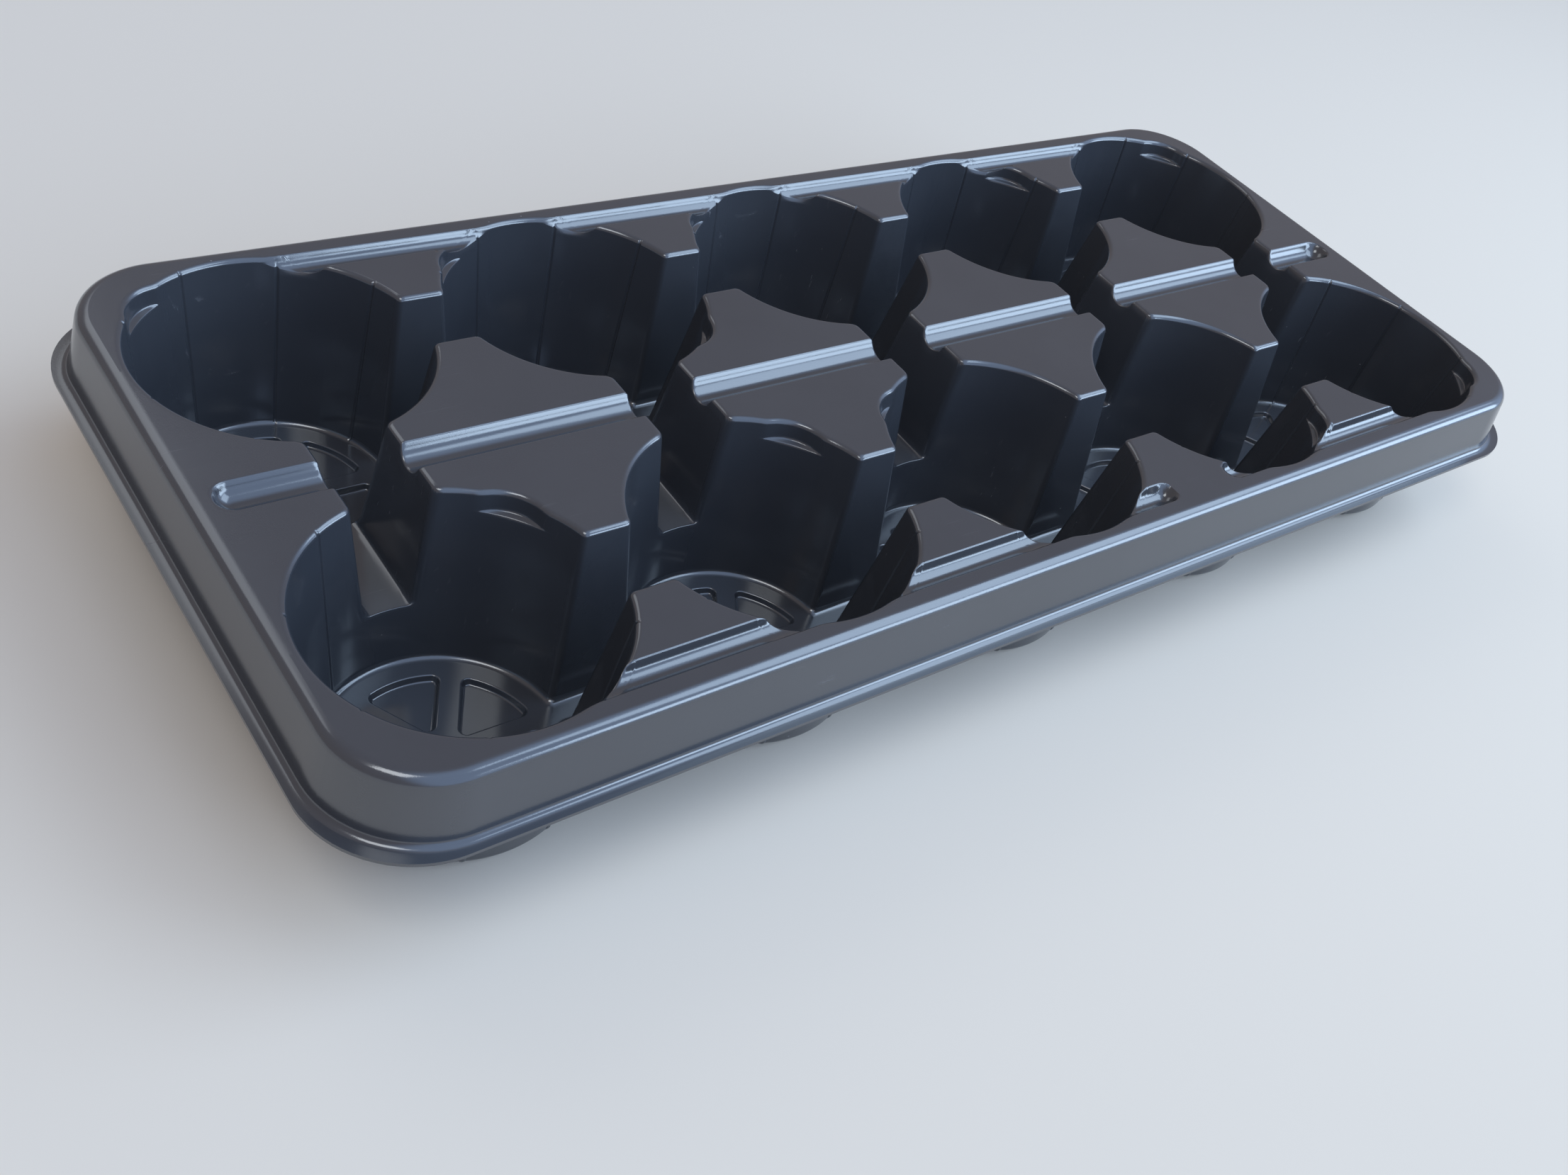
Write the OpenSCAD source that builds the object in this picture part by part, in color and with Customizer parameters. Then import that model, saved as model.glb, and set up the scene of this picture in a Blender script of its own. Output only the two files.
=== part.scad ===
// Pot carry tray: one thermoformed sheet with two rows of round, drafted cells.
// The sheet is divided at its creases into closed regions that meet face to face.
// Millimetres, +Z up, +X along the rows. The origin is under the middle of the tray, at the feet.

/* [Cells] */
// Distance between neighbouring cells along a row
pitch_x = 105; // [100:0.5:120]
// Distance between the two rows of cells
pitch_y = 121.5; // [114:0.5:135]
// Radius of a cell's mouth at deck level
mouth_r = 46.2; // [44:0.1:49]
// Depth of a cell from the deck to its floor
cell_depth = 63; // [55:1:75]
// Draft of the formed walls, in degrees
draft = 6.8; // [5:0.1:8.5]
// Opening at deck level between two neighbours in a row
row_throat = 24.6; // [22:0.1:34]
// Opening at deck level between a front cell and the back cell behind it
cross_throat = 25.2; // [23:0.1:34]
// Depth from the deck to the saddle between a front and a back cell
saddle_depth = 42; // [34:1:48]

/* [Sheet] */
// Thickness of the formed sheet
sheet_t = 1.2; // [0.8:0.1:1.6]

/* [Feet] */
// Drop of the foot pads below the cell floor
foot_drop = 2; // [1:0.25:3.5]
// Outer radius of the ring of pads
pad_ring_r = 31; // [26:0.5:33]
// Width of the spokes left between the pads
spoke_w = 6.6; // [5:0.1:9]
// Corner radius of a pad
pad_corner_r = 2.5; // [1.5:0.1:3.5]

/* [Deck] */
// Deck left between the cells' mouths and the rim at the front and back
side_margin = 3.25; // [2.5:0.25:12]
// Deck left between the cells' mouths and the rim at the two ends
end_margin = 3; // [2.5:0.25:12]
// Corner radius of the deck
deck_corner_r = 26; // [20:0.5:40]

/* [Rim] */
// Radius of the rounded edge between deck and skirt
edge_r = 4; // [2:0.25:6]
// Drop from the deck to the lip
skirt_drop = 22.3; // [15:0.1:32]
// Flare of the skirt, in degrees
skirt_flare = 9; // [4:0.5:14]
// Radius of the hollow between skirt and lip
lip_hollow_r = 2.5; // [0.75:0.25:4]
// Width of the flat lip along the straight sides
lip_w = 1.6; // [1:0.1:6]
// Corner radius of the trimmed lip
lip_corner_r = 33; // [24:1:40]

/* [Grooves] */
// Width of the groove along the middle of the tray
groove_w = 12; // [8:0.5:16]
// Depth of the groove along the middle of the tray
groove_d = 5.6; // [2.5:0.1:7]
// Deck left between the closed end of that groove and the rim
groove_end_margin = 3.5; // [2.5:0.1:12]
// Width of the grooves across the side posts
side_groove_w = 9.5; // [6:0.5:10]
// Depth of the grooves across the side posts
side_groove_d = 4.2; // [2:0.1:5]
// Distance from the rim to the middle of the side grooves
side_groove_inset = 9; // [8:0.1:14]
// Bare length in the middle of the one side post with a broken groove
groove_break = 30; // [20:1:34]
// Shift of that bare length along the post, towards +X
groove_break_shift = 3.3; // [0:0.1:6]

/* [Ledges] */
// Depth from the deck to a stacking ledge
ledge_depth = 6.8; // [5:0.1:9]
// Radius of the pocket above a ledge
ledge_r = 15.4; // [12:0.2:18]
// Reach of the pocket beyond the cell's mouth
ledge_bulge = 2.2; // [1.6:0.1:3]

/* [Hidden] */
$fn = 96;
columns = 5;
pads_per_cell = 6;
arc_steps = 5;
over = 1;
front = -1;
back = 1;
plastic = [0.17, 0.16, 0.165];
broken_groove_post = 3;
// Each ledge: column and row of its cell, then the way across the cell that it lies
ledges = [
    [1, front, 1, 1], [2, front, 1, 1], [3, front, -1, 1], [4, front, 1, -1], [5, front, 1, -1],
    [1, back, -1, 1], [2, back, -1, 1], [2, back, 1, -1], [3, back, -1, 1], [4, back, 1, 1], [5, back, 1, 1],
];

slope = tan(draft);
floor_z = foot_drop + sheet_t;
deck_z = floor_z + cell_depth;
saddle_z = deck_z - saddle_depth;
lip_z = deck_z - skirt_drop;
row_y = pitch_y / 2;
last_x = (columns - 1) / 2 * pitch_x;
floor_r = mouth_r - cell_depth * slope;
deck_half_x = last_x + mouth_r + end_margin;
deck_half_y = row_y + mouth_r + side_margin;
post_half_x = (pitch_x - cross_throat) / 2;
post_half_y = (pitch_y - row_throat) / 2;
tongue_tip_x = last_x + cross_throat / 2;
side_tip_y = row_y + row_throat / 2;
row_gap_floor = row_throat / 2 - cell_depth * slope;
ledge_centre = mouth_r + ledge_bulge - ledge_r;

// Rim profile, measured outward from the deck's edge
skirt_top = [edge_r * cos(skirt_flare), deck_z - edge_r + edge_r * sin(skirt_flare)];
hollow_z = lip_z + lip_hollow_r;
skirt_run = (skirt_top[1] - hollow_z + lip_hollow_r * sin(skirt_flare)) / cos(skirt_flare);
hollow_x = skirt_top[0] + skirt_run * sin(skirt_flare) + lip_hollow_r * cos(skirt_flare);
rim_w = hollow_x + lip_w;

function cell_x(col) = (col - (columns + 1) / 2) * pitch_x;
function post_x(k) = cell_x(k) + pitch_x / 2;
function arc(c, r, a0, a1) =
    [for (i = [0 : arc_steps]) let (a = a0 + (a1 - a0) * i / arc_steps) c + r * [cos(a), sin(a)]];
function spread(z) = (deck_z - z) * slope;
function has_ledge(col, side, across, along) =
    len([for (ledge = ledges) if (ledge == [col, side, across, along]) ledge]) > 0;
function groove_r(w, d) = (w * w / 4 + d * d) / (2 * d);

// Outline of one foot pad on +X, grown outward by a given amount
function pad_outline(grow) =
    let (half = 180 / pads_per_cell,
         reach = spoke_w / 2 + pad_corner_r,
         corner_at = pad_ring_r - pad_corner_r,
         side = half - asin(reach / corner_at),
         r = pad_corner_r + grow)
    concat(arc([reach / sin(half), 0], r, 90 + half, 270 - half),
           arc(corner_at * [cos(side), -sin(side)], r, -90 - half, -side),
           arc([0, 0], pad_ring_r + grow, -side, side),
           arc(corner_at * [cos(side), sin(side)], r, side, 90 + half));

// Section of the rim: over the rounded edge, down the skirt, out to the lip and back underneath
function rim_section(outer_w) =
    concat(arc([0, deck_z - edge_r], edge_r, 90, skirt_flare),
           arc([hollow_x, hollow_z], lip_hollow_r, 180 + skirt_flare, 270),
           outer_w > hollow_x ? [[outer_w, lip_z], [outer_w, lip_z - sheet_t]] : [],
           arc([hollow_x, hollow_z], lip_hollow_r + sheet_t, 270, 180 + skirt_flare),
           arc([0, deck_z - edge_r], edge_r - sheet_t, skirt_flare, 90));

// Room inside one cell, grown outward by a given amount
module cell_room(x, y, grow) {
    translate([x, y, floor_z - over])
        cylinder(h = cell_depth + 2 * over,
                 r1 = floor_r - over * slope + grow,
                 r2 = mouth_r + over * slope + grow);
}

// Cell with a ledge pocket on one of its diagonals where it has one
module ledged_cell(has_pocket, across, along, x, y, grow) {
    cell_room(x, y, grow);
    if (has_pocket)
        translate([x + across * ledge_centre / sqrt(2), y + along * ledge_centre / sqrt(2),
                   deck_z - ledge_depth - grow])
            cylinder(h = ledge_depth + grow + over, r = ledge_r + grow);
}

// Section drawn across X and extruded along Y
module along_y(length) {
    rotate([90, 0, 0])
        linear_extrude(length, center = true)
            children();
}

// Section drawn across Y and extruded along X
module along_x(length) {
    rotate([90, 0, 90])
        linear_extrude(length, center = true)
            children();
}

// Section of a post that spreads downward from its half width at the deck
module spreading_section(half, low, high) {
    polygon([[-half - spread(low), low], [half + spread(low), low],
             [half + spread(high), high], [-half - spread(high), high]]);
}

module post_block(grow, low, high) {
    intersection() {
        along_y(pitch_y)
            spreading_section(post_half_x - grow, low, high);
        along_x(pitch_x)
            spreading_section(post_half_y - grow, low, high);
    }
}

// Straight groove along X with its round bottom below the deck, grown by a given amount
module groove(width, depth, length, grow) {
    r = groove_r(width, depth);
    translate([0, 0, deck_z - depth + r])
        rotate([0, 90, 0])
            cylinder(h = length, r = r + grow, center = true);
}

// Groove along +X that starts with a round closed end at the origin
module closed_groove(width, depth, length, grow) {
    r = groove_r(width, depth);
    translate([width / 2, 0, deck_z - depth + r]) {
        sphere(r = r + grow);
        rotate([0, 90, 0])
            cylinder(h = length, r = r + grow);
    }
}

// Space under the saddles, which opens the posts to each other below
module saddle_passage(length) {
    translate([-length / 2, -pitch_y / 4, floor_z - over])
        cube([length, pitch_y / 2, saddle_z - sheet_t - floor_z + over]);
}

module post_cells(k, grow) {
    for (side = [front, back], step = [0, 1])
        let (across = 1 - 2 * step)
            ledged_cell(has_ledge(k + step, side, across, -side), across, -side,
                        -across * pitch_x / 2, side * row_y, grow);
}

module centre_post(k) {
    color(plastic)
        translate([post_x(k), 0, 0])
            difference() {
                post_block(0, floor_z, deck_z);
                post_cells(k, 0);
                groove(groove_w, groove_d, pitch_x, 0);
                difference() {
                    union() {
                        post_block(sheet_t, floor_z - over, deck_z - sheet_t);
                        saddle_passage(pitch_x);
                    }
                    post_cells(k, sheet_t);
                    groove(groove_w, groove_d, pitch_x, sheet_t);
                }
            }
}

// Section of a side post from the rim to its drafted tip
module side_section(grow, low, high, edge) {
    polygon([[-edge, low], [-side_tip_y + spread(low) - grow, low],
             [-side_tip_y + spread(high) - grow, high], [-edge, high]]);
}

module side_grooves(k, side, grow) {
    translate([0, side_groove_inset - deck_half_y, 0])
        if (side == front && k == broken_groove_post)
            translate([groove_break_shift, 0, 0])
                for (turn = [0, 180])
                    rotate([0, 0, turn])
                        translate([groove_break / 2, 0, 0])
                            closed_groove(side_groove_w, side_groove_d, pitch_x, grow);
        else
            groove(side_groove_w, side_groove_d, pitch_x + 2 * over, grow);
}

// Side posts are drawn at the front and mirrored for the back
module side_cells(k, side, grow) {
    for (step = [0, 1])
        let (across = 1 - 2 * step)
            ledged_cell(has_ledge(k + step, side, across, side), across, front,
                        -across * pitch_x / 2, front * row_y, grow);
}

module side_post(k, side) {
    color(plastic)
        translate([post_x(k), 0, 0])
            mirror([0, side == back ? 1 : 0, 0])
                difference() {
                    along_x(pitch_x)
                        side_section(0, floor_z, deck_z, deck_half_y);
                    side_cells(k, side, 0);
                    side_grooves(k, side, 0);
                    difference() {
                        along_x(pitch_x + 2 * over)
                            side_section(sheet_t, floor_z - over, deck_z - sheet_t, deck_half_y + over);
                        side_cells(k, side, sheet_t);
                        side_grooves(k, side, sheet_t);
                    }
                }
}

// Section of the left end tongue from the rim to its drafted tip
module tongue_section(grow, low, high, edge) {
    polygon([[-edge, low], [-tongue_tip_x + spread(low) - grow, low],
             [-tongue_tip_x + spread(high) - grow, high], [-edge, high]]);
}

module tongue_cells(grow) {
    cell_room(-last_x, -row_y, grow);
    cell_room(-last_x, row_y, grow);
}

module tongue_groove(grow) {
    translate([groove_end_margin - deck_half_x, 0, 0])
        closed_groove(groove_w, groove_d, pitch_x, grow);
}

module end_tongue(flip) {
    color(plastic)
        mirror([flip, 0, 0])
            difference() {
                along_y(pitch_y)
                    tongue_section(0, floor_z, deck_z, deck_half_x);
                tongue_cells(0);
                tongue_groove(0);
                difference() {
                    union() {
                        along_y(pitch_y + 2 * over)
                            tongue_section(sheet_t, floor_z - over, deck_z - sheet_t, deck_half_x + over);
                        translate([-last_x, 0, 0])
                            saddle_passage(pitch_x);
                    }
                    tongue_cells(sheet_t);
                    tongue_groove(sheet_t);
                }
            }
}

// Outline of a corner piece of a given size with its outer corner rounded
module rounded_corner(size_x, size_y, r) {
    intersection() {
        square([size_x, size_y]);
        union() {
            square([size_x - r, size_y]);
            square([size_x, size_y - r]);
            translate([size_x - r, size_y - r])
                circle(r);
        }
    }
}

// The corner is drawn at the back right and mirrored to its place
module corner_post(col, side) {
    across = col == 1 ? -1 : 1;
    has_pocket = has_ledge(col, side, across, side);
    size_x = deck_half_x - last_x;
    size_y = deck_half_y - row_y;
    color(plastic)
        mirror_to_corner(across, side)
            translate([last_x, row_y, 0])
                difference() {
                    translate([0, 0, floor_z])
                        linear_extrude(cell_depth)
                            rounded_corner(size_x, size_y, deck_corner_r);
                    ledged_cell(has_pocket, 1, 1, 0, 0, 0);
                    difference() {
                        translate([-over, -over, floor_z - over])
                            cube([size_x + 2 * over, size_y + 2 * over, cell_depth + over - sheet_t]);
                        ledged_cell(has_pocket, 1, 1, 0, 0, sheet_t);
                    }
                }
}

module mirror_to_corner(across, side) {
    mirror([across < 0 ? 1 : 0, 0, 0])
        mirror([0, side < 0 ? 1 : 0, 0])
            children();
}

module cell_floor(col, side) {
    color(plastic)
        translate([cell_x(col), side * row_y, 0])
            difference() {
                union() {
                    translate([0, 0, foot_drop])
                        linear_extrude(sheet_t)
                            floor_outline(col);
                    linear_extrude(foot_drop + sheet_t)
                        pads(sheet_t);
                }
                translate([0, 0, sheet_t])
                    linear_extrude(foot_drop + over)
                        pads(0);
            }
}

module floor_outline(col) {
    channel = row_gap_floor + sheet_t;
    circle(floor_r + sheet_t);
    if (col > 1)
        translate([-pitch_x / 2, -channel])
            square([pitch_x / 2, 2 * channel]);
    if (col < columns)
        translate([0, -channel])
            square([pitch_x / 2, 2 * channel]);
}

module pads(grow) {
    for (i = [0 : pads_per_cell - 1])
        rotate((i + 0.5) * 360 / pads_per_cell)
            polygon(pad_outline(grow));
}

module saddle(col) {
    color(plastic)
        translate([cell_x(col), 0, 0])
            difference() {
                along_y(pitch_y)
                    polygon([for (side = [-1, 1], z = side < 0 ? [floor_z, saddle_z] : [saddle_z, floor_z])
                        [side * (cross_throat / 2 - spread(z)), z]]);
                saddle_cells(0);
                difference() {
                    translate([-cross_throat / 2, -pitch_y / 2 - over, floor_z - over])
                        cube([cross_throat, pitch_y + 2 * over, saddle_z - sheet_t - floor_z + over]);
                    saddle_cells(sheet_t);
                }
            }
}

module saddle_cells(grow) {
    for (side = [front, back])
        cell_room(0, side * row_y, grow);
}

// Straight rim along X, with its inner edge on the X axis and its lip towards -Y
module straight_rim(length) {
    rotate([0, 0, 180])
        along_x(length)
            polygon(rim_section(rim_w));
}

module rim_side(side) {
    color(plastic)
        mirror([0, side == back ? 1 : 0, 0])
            translate([0, -deck_half_y, 0])
                straight_rim(2 * (deck_half_x - deck_corner_r));
}

module rim_end(flip) {
    color(plastic)
        mirror([flip, 0, 0])
            translate([-deck_half_x, 0, 0])
                rotate([0, 0, -90])
                    straight_rim(2 * (deck_half_y - deck_corner_r));
}

module rim_corner(across, side) {
    lip_size = deck_corner_r + rim_w;
    color(plastic)
        mirror_to_corner(across, side)
            translate([deck_half_x - deck_corner_r, deck_half_y - deck_corner_r, 0]) {
                rotate_extrude(angle = 90)
                    translate([deck_corner_r, 0])
                        polygon(rim_section(hollow_x));
                translate([0, 0, lip_z - sheet_t])
                    linear_extrude(sheet_t)
                        difference() {
                            rounded_corner(lip_size, lip_size, lip_corner_r);
                            circle(deck_corner_r + hollow_x);
                        }
            }
}

for (col = [1 : columns]) {
    cell_floor(col, front);
    cell_floor(col, back);
    saddle(col);
}
for (k = [1 : columns - 1]) {
    centre_post(k);
    side_post(k, front);
    side_post(k, back);
}
end_tongue(0);  // end_tongue_left
end_tongue(1);  // end_tongue_right
corner_post(1, front);  // corner_post_front_left
corner_post(columns, front);  // corner_post_front_right
corner_post(1, back);  // corner_post_back_left
corner_post(columns, back);  // corner_post_back_right
rim_side(front);  // rim_front
rim_side(back);  // rim_back
rim_end(0);  // rim_left
rim_end(1);  // rim_right
rim_corner(-1, front);  // rim_corner_front_left
rim_corner(1, front);  // rim_corner_front_right
rim_corner(-1, back);  // rim_corner_back_left
rim_corner(1, back);  // rim_corner_back_right
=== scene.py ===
"""Pot carry tray: one formed sheet of black plastic, dressed region by region around its solid model."""

import math

import bpy
import numpy as np
from mathutils import Euler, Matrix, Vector
from mathutils.geometry import tessellate_polygon


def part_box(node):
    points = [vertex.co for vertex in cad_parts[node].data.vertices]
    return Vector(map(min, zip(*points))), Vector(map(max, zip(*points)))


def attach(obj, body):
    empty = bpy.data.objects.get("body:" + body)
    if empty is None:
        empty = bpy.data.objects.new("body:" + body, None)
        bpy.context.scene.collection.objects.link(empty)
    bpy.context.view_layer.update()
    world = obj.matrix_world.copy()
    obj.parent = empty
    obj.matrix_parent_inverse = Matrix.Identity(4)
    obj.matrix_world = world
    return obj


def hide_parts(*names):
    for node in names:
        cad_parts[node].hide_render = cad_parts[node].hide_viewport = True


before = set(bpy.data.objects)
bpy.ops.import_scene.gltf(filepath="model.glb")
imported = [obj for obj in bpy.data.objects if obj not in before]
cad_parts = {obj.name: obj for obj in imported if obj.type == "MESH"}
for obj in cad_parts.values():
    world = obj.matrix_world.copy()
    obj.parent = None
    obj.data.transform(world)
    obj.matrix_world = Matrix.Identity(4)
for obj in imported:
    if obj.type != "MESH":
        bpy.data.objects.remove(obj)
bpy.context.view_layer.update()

MM = 0.001
TINY = 1e-12


def corners(node):
    """Lowest and highest corner of a solid, in millimetres."""
    low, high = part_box(node)
    return np.array(low) / MM, np.array(high) / MM


def middle(node):
    low, high = corners(node)
    return (low + high) / 2


# Sheet, which is thinned step by step below edges that are too tight for it
SHEET = 1.2
THIN_SHEET = 0.35
THIN_SHARE = 0.85
THIN_ROUNDS = 8

# Rows and columns of cells
COLUMNS = 5
FRONT = -1
BACK = 1
SIDE_NAME = {FRONT: "front", BACK: "back"}

# Places that the frame gives, in millimetres
CELL_X = np.array([middle(f"saddle_{col}")[0] for col in range(1, COLUMNS + 1)])
PITCH_X = CELL_X[1] - CELL_X[0]
ROW_Y = middle("cell_floor_back_1")[1]
DECK_Z = corners("centre_post_1")[1][2]
FLOOR_Z = corners("saddle_1")[0][2]
CELL_DEPTH = DECK_Z - FLOOR_Z
SADDLE_DEPTH = DECK_Z - corners("saddle_1")[1][2]
DECK_HALF_X = -corners("end_tongue_left")[0][0]
DECK_HALF_Y = -corners("side_post_front_1")[0][1]
LIP_HALF_X = -corners("rim_left")[0][0]
LIP_HALF_Y = -corners("rim_front")[0][1]
LIP_DROP = DECK_Z - corners("rim_front")[0][2] - SHEET

# Formed walls
MOUTH_R = 46.2
DRAFT = math.radians(6.8)
ROW_THROAT = 24.6
CROSS_THROAT = 25.2
MOUTH_EDGE_R = 1.9
WALL_FOOT_R = 2.2
TIP_R = 2.2
TIP_BLEND = 2.6
SADDLE_EDGE = 1.6
SADDLE_HALF = 7.5
# Share of a saddle's depth where its edge starts to round, and over which share it rounds fully
SADDLE_EDGE_FROM = 0.8
SADDLE_EDGE_RUN = 0.15
NO_EDGE = 1e-6
THROAT_MARGIN = MOUTH_R / 10

# Flutes down the outer half of each cell, and those beside the left tongue
FLUTE_ANGLES = np.arange(210.0, 360, 40)
END_FLUTE_ANGLES = np.array([122.0, 163.0])
FLUTE_DEPTH = 0.45
FLUTE_HALF = 0.8

# Pockets above the stacking ledges
LEDGE_DEPTH = 6.8
LEDGE_R = 15.4
LEDGE_BULGE = 2.2
LEDGE_BLEND = 0.35
LEDGE_HALF_ANGLE = 0.45
# Each ledge: column and row of its cell, then the way across the cell that it lies
LEDGES = [
    (1, FRONT, 1, 1), (2, FRONT, 1, 1), (3, FRONT, -1, 1), (4, FRONT, 1, -1), (5, FRONT, 1, -1),
    (1, BACK, -1, 1), (2, BACK, -1, 1), (2, BACK, 1, -1),
    (3, BACK, -1, 1), (4, BACK, 1, 1), (5, BACK, 1, 1),
]

# Round grooves in the deck; the axis of the one along the middle lies above the deck
GROOVE_R = 5.8
GROOVE_RAISED = 0.8
GROOVE_EDGE_R = 0.9
GROOVE_END_X = 249.3
SIDE_GROOVE_R = 4.2
SIDE_GROOVE_EDGE_R = 0.8
GROOVE_END_R = 1.0
GROOVE_REACH = CELL_DEPTH / 3
SIDE_GROOVE_IN = 9.0
SIDE_GROOVE_Y = DECK_HALF_Y - SIDE_GROOVE_IN
BROKEN_GROOVE_POST = 3
BREAK_FROM_X = 40.9
BREAK_TO_X = 70.7

# Foot pads pressed into the floors
PADS = 6
PAD_DEPTH = 2.0
PAD_RING_R = 31.0
SPOKE_W = 6.6
PAD_CORNER_R = 2.5
PAD_DRAFT = math.radians(25)
PAD_EDGE_R = 0.7
PAD_FOOT_R = 0.9

# Rim
DECK_CORNER_R = 26.0
RIM_EDGE_R = 4.0
SKIRT_FLARE = math.radians(9)
LIP_HOLLOW_R = 2.5
LIP_CORNER_R = 33.0

# Plastic: its two tints, where scuffs lie, and how much grain, patches and scuffs roughen it
TINT_DARK = (0.034, 0.037, 0.044, 1)
TINT_LIGHT = (0.042, 0.045, 0.052, 1)
TINT_RANGE = (0.3, 0.7)
HAIR_RANGE = (0.66, 0.76)
WORN_RANGE = (0.52, 0.66)
BASE_ROUGHNESS = 0.09
GRAIN_ROUGHNESS = 0.06
PATCH_ROUGHNESS = 0.07
SCUFF_ROUGHNESS = 0.2
GRAIN_HEIGHT = 0.00002
RIPPLE_HEIGHT = 0.00012

# Dust: few of the evenly spread places get a speck, by a number drawn as a colour for each
DUST_COLOUR = (0.16, 0.16, 0.17, 1)
SPECK_SCALE = 110.0
SPECK_R = 0.03
SPECK_LOT = 0.72
LOT_WEIGHTS = (0.2126, 0.7152, 0.0722)
SCUFF_COVER = 0.2
SPECK_COVER = 0.8

# Light: the way to the bright part of the dome, where it fades, its two colours and the floor's
DOME_FRONT = (0.48, -0.71, 0.515)
DOME_FADE = (0.38, 0.74)
DOME_BRIGHT = (0.78, 1.04, 1.55, 1)
DOME_DIM = (0.335, 0.30, 0.30, 1)
FLOOR_COLOUR = (0.68, 0.61, 0.52, 1)
FLOOR_HALF = 6.0
LAMP_TARGET = (0, 0, 0.05)
COOL = (0.62, 0.8, 1.0)

# Camera: place in metres, turn in degrees, and focal length in pixels of the picture's width
CAMERA_PLACE = (-0.37178, -0.31237, 0.36343)
CAMERA_TURN = (46.926, -13.726, -35.701)
PICTURE_W = 2212
FOCAL_PIXELS = 2163.5
SENSOR_W = 36.0
CLIP_START = 0.01

# Spacing of the sheet's columns and rows
ARC_STEP = 1.8
OUTER_ARC_STEP = 1.5
GROOVE_END_STEP = 0.7
GROOVE_WALL_STEP = 0.25
GROOVE_WALL_SHARE = 0.7
CAP_STEP = 0.4
CAP_MARGIN = 1
THROAT_STEP = 0.5
THROAT_BEFORE = 6.5
THROAT_BEYOND = 3.5
FLUTE_COLUMNS = 9
FLUTE_REACH = 1.25
ROW_GAP = 0.02
LEAST_STEP = 0.18
LEAST_AREA = 1e-7
GROOVE_ROWS = 13
ROWS_BEFORE_GROOVE = np.array([4, 2])
DECK_ROWS = 5
EDGE_STEPS = 7
MOUTH_EDGE_STEPS = 11
TIP_STEPS = 4
TIP_CORNER_STEPS = 6
ARC_END_ANGLE = 22.5
ARC_END_STEPS = 8
PAD_POINT_STEPS = 8
PAD_CORNER_STEPS = 7
PAD_ARC_STEPS = 10
SUPPORT = 0.4
PAD_SUPPORT = 0.3
SKIRT_SHARES = np.array([0.2, 0.5, 0.8])[:, None]
LIP_SHARES = np.array([0.5, 1.0])[:, None]


def smooth_max(a, b, width):
    """The larger of two distances, blended where they are within a width of each other."""
    near = np.maximum(width - np.abs(a - b), 0) / width
    return np.maximum(a, b) + near ** 2 * width / 4


def formed_wall(inside, depth, draft=DRAFT, edge_r=MOUTH_EDGE_R, foot_r=WALL_FOOT_R):
    """Height below the deck at a distance inside a mouth: rounded edge, drafted wall, rounded foot."""
    turn = math.pi / 2 - draft
    steep = 1 / math.tan(draft)
    edge_run = edge_r * math.tan(turn / 2)
    foot_end = depth / steep + foot_r * math.tan(turn / 2)
    over_edge = np.clip(inside + edge_run, 0, edge_r * math.sin(turn))
    edge = np.sqrt(edge_r ** 2 - over_edge ** 2) - edge_r
    to_foot = np.clip(foot_end - inside, 0, foot_r * math.sin(turn))
    foot = foot_r - depth - np.sqrt(foot_r ** 2 - to_foot ** 2)
    edge_end = edge_r * math.sin(turn) - edge_run
    foot_start = foot_end - foot_r * math.sin(turn)
    return np.where(inside < edge_end, edge, np.where(inside > foot_start, foot, -inside * steep))


def wall_stations(depth, draft, edge_r, foot_r, between, support, edge_steps=EDGE_STEPS):
    """Distances inside a mouth at which a wall gets its rings, from the deck to the floor."""
    turn = math.pi / 2 - draft
    edge = edge_r * np.sin(np.linspace(0, turn, edge_steps)) - edge_r * math.tan(turn / 2)
    foot_end = depth * math.tan(draft) + foot_r * math.tan(turn / 2)
    foot = foot_end - foot_r * np.sin(np.linspace(turn, 0, EDGE_STEPS))
    return np.concatenate([[edge[0] - support], edge, between, foot, [foot_end + support]])


def groove_section(across, r, edge_r, raised=0.0):
    """Depth of a round groove with rounded edges, at a distance across from its axis."""
    edge_at = math.sqrt((r + edge_r) ** 2 - (raised + edge_r) ** 2)
    join = edge_at * r / (r + edge_r)
    hollow = raised - np.sqrt(np.maximum(r ** 2 - across ** 2, 0))
    edge = -edge_r + np.sqrt(np.maximum(edge_r ** 2 - (across - edge_at) ** 2, 0))
    return np.where(across < join, hollow, np.where(across < edge_at, edge, 0))


def centre_groove(x, y):
    """Depth of the groove along the middle of the tray, closed at its two ends."""
    past_end = np.maximum(np.abs(x) - GROOVE_END_X, 0)
    return groove_section(np.hypot(past_end, y), GROOVE_R, GROOVE_EDGE_R, GROOVE_RAISED)


def side_groove(x, y):
    """Depth of the grooves across the side posts, one of which is broken in the middle."""
    broken_from, broken_to = CELL_X[BROKEN_GROOVE_POST - 1], CELL_X[BROKEN_GROOVE_POST]
    past_end = np.minimum(x - BREAK_FROM_X, BREAK_TO_X - x) + SIDE_GROOVE_R
    on_broken = (y < 0) & (x > broken_from) & (x < broken_to)
    past_end = np.where(on_broken, np.maximum(past_end, 0), 0)
    across = np.hypot(past_end, np.abs(y) - SIDE_GROOVE_Y)
    between_ends = np.abs(x) < CELL_X[-1]
    return np.where(between_ends, groove_section(across, SIDE_GROOVE_R, SIDE_GROOVE_EDGE_R), 0)


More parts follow.
